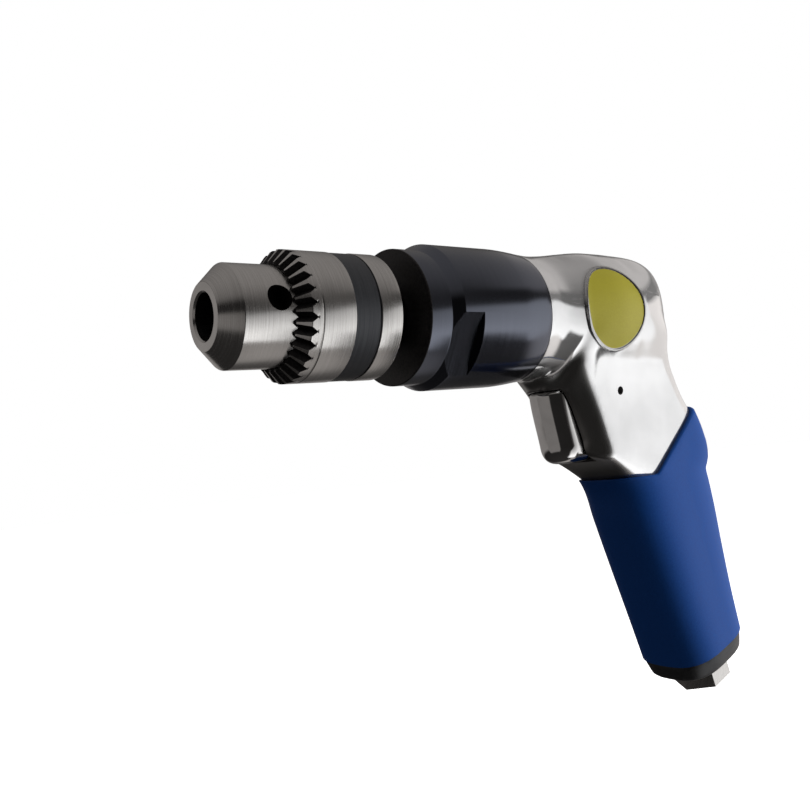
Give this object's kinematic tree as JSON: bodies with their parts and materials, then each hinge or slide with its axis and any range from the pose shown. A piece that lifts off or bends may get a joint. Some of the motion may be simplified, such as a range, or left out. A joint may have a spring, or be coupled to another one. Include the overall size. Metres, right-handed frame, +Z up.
{
  "type": "air drill",
  "caption": "Pistol-grip air drill with a keyed three-jaw chuck, black gear case, polished aluminium motor housing, push trigger, blue grip sleeve and a threaded air inlet in the foot.",
  "frame": {"origin": "centre of the chuck's mouth, on the spindle's axis at the flat front face", "axes": "+X along the spindle to the rear, +Z up, +Y to the side away from the badge"},
  "size_m": [0.2095, 0.0491, 0.1695],
  "materials": {
    "satin_steel": "turned, satin",
    "dark_steel": "hardened, dark",
    "spring_steel": "ground",
    "black_anodised": "black anodised, satin",
    "polished_aluminium": "polished",
    "plain_aluminium": "machined",
    "grey_iron": "honed",
    "bearing_steel": "polished",
    "blue_grip": "smooth, slightly glossy",
    "badge_yellow": "glossy enamel, bare of any mark",
    "trigger_chrome": "polished",
    "valve_brass": "turned",
    "seal_rubber": "matt",
    "silencer_felt": "pressed felt",
    "vane_fibre": "laminated fibre"
  },
  "bodies": {
    "frame": {"gear_case": "black_anodised", "dust_seal": "seal_rubber", "front_bearing_outer": "bearing_steel", "bearing_spacer": "dark_steel", "rear_bearing_outer": "bearing_steel", "retaining_ring": "dark_steel", "ring_gear": "dark_steel", "thrust_washer": "dark_steel", "front_end_plate": "plain_aluminium", "motor_bearing_front_outer": "bearing_steel", "cylinder_sleeve": "grey_iron", "cylinder_dowel": "spring_steel", "rear_end_plate": "plain_aluminium", "motor_bearing_rear_outer": "bearing_steel", "rear_gasket": "seal_rubber", "motor_housing": "polished_aluminium", "badge": "badge_yellow", "grip_sleeve": "blue_grip", "trigger_pin": "satin_steel", "valve_bush": "valve_brass", "valve_spring": "spring_steel", "exhaust_cap": "black_anodised", "silencer_pad": "silencer_felt", "inlet_bushing": "satin_steel", "inlet_screen": "spring_steel"},
    "spindle": {"spindle": "dark_steel", "chuck_body": "satin_steel", "front_bearing_inner": "bearing_steel", "front_bearing_balls": "bearing_steel", "rear_bearing_inner": "bearing_steel", "rear_bearing_balls": "bearing_steel", "planet_pins": "spring_steel"},
    "sleeve": {"chuck_sleeve": "satin_steel", "chuck_nut": "dark_steel"},
    "jaw_1": {"jaw_1": "dark_steel"},
    "jaw_2": {"jaw_2": "dark_steel"},
    "jaw_3": {"jaw_3": "dark_steel"},
    "planet_1": {"planet_1": "dark_steel"},
    "planet_2": {"planet_2": "dark_steel"},
    "planet_3": {"planet_3": "dark_steel"},
    "rotor": {"rotor": "dark_steel", "vanes": "vane_fibre", "motor_bearing_front_inner": "bearing_steel", "motor_bearing_front_balls": "bearing_steel", "motor_bearing_rear_inner": "bearing_steel", "motor_bearing_rear_balls": "bearing_steel"},
    "trigger": {"trigger": "trigger_chrome", "valve_stem": "spring_steel", "valve_seal": "seal_rubber"}
  },
  "joints": [
    {"name": "spindle_spin", "type": "hinge", "parent": "frame", "child": "spindle", "pos_m": [0, 0, 0], "axis": [1, 0, 0], "continuous": true},
    {"name": "rotor_spin", "type": "hinge", "parent": "frame", "child": "rotor", "pos_m": [0, 0, 0], "axis": [1, 0, 0], "continuous": true},
    {"name": "planet_1_spin", "type": "hinge", "parent": "spindle", "child": "planet_1", "pos_m": [0.0976, -0.00945, 0], "axis": [1, 0, 0], "continuous": true},
    {"name": "planet_2_spin", "type": "hinge", "parent": "spindle", "child": "planet_2", "pos_m": [0.0976, 0.00473, 0.00818], "axis": [1, 0, 0], "continuous": true},
    {"name": "planet_3_spin", "type": "hinge", "parent": "spindle", "child": "planet_3", "pos_m": [0.0976, 0.00473, -0.00818], "axis": [1, 0, 0], "continuous": true},
    {"name": "sleeve_turn", "type": "hinge", "parent": "spindle", "child": "sleeve", "pos_m": [0.0356, 0, 0], "axis": [1, 0, 0], "range_deg": [0, 4171.8]},
    {"name": "jaw_1_slide", "type": "slide", "parent": "spindle", "child": "jaw_1", "axis": [-0.9659, 0.0868, -0.2438], "range_m": [0, 0.01739]},
    {"name": "jaw_2_slide", "type": "slide", "parent": "spindle", "child": "jaw_2", "axis": [-0.9659, -0.2546, 0.0467], "range_m": [0, 0.01739]},
    {"name": "jaw_3_slide", "type": "slide", "parent": "spindle", "child": "jaw_3", "axis": [-0.9659, 0.1677, 0.1971], "range_m": [0, 0.01739]},
    {"name": "trigger_slide", "type": "slide", "parent": "frame", "child": "trigger", "axis": [1, 0, 0], "range_m": [0, 0.007], "stiffness_N_per_m": 800, "springref_m": -0.01, "deforming": ["valve_spring"]}
  ],
  "couplings": [
    {"joint": "rotor_spin", "follows": "spindle_spin", "ratio": 4.5},
    {"joint": "planet_1_spin", "follows": "spindle_spin", "ratio": -2.8},
    {"joint": "planet_2_spin", "follows": "spindle_spin", "ratio": -2.8},
    {"joint": "planet_3_spin", "follows": "spindle_spin", "ratio": -2.8},
    {"joint": "jaw_1_slide", "follows": "sleeve_turn", "m_per_rad": 0.00023873},
    {"joint": "jaw_2_slide", "follows": "sleeve_turn", "m_per_rad": 0.00023873},
    {"joint": "jaw_3_slide", "follows": "sleeve_turn", "m_per_rad": 0.00023873}
  ]
}
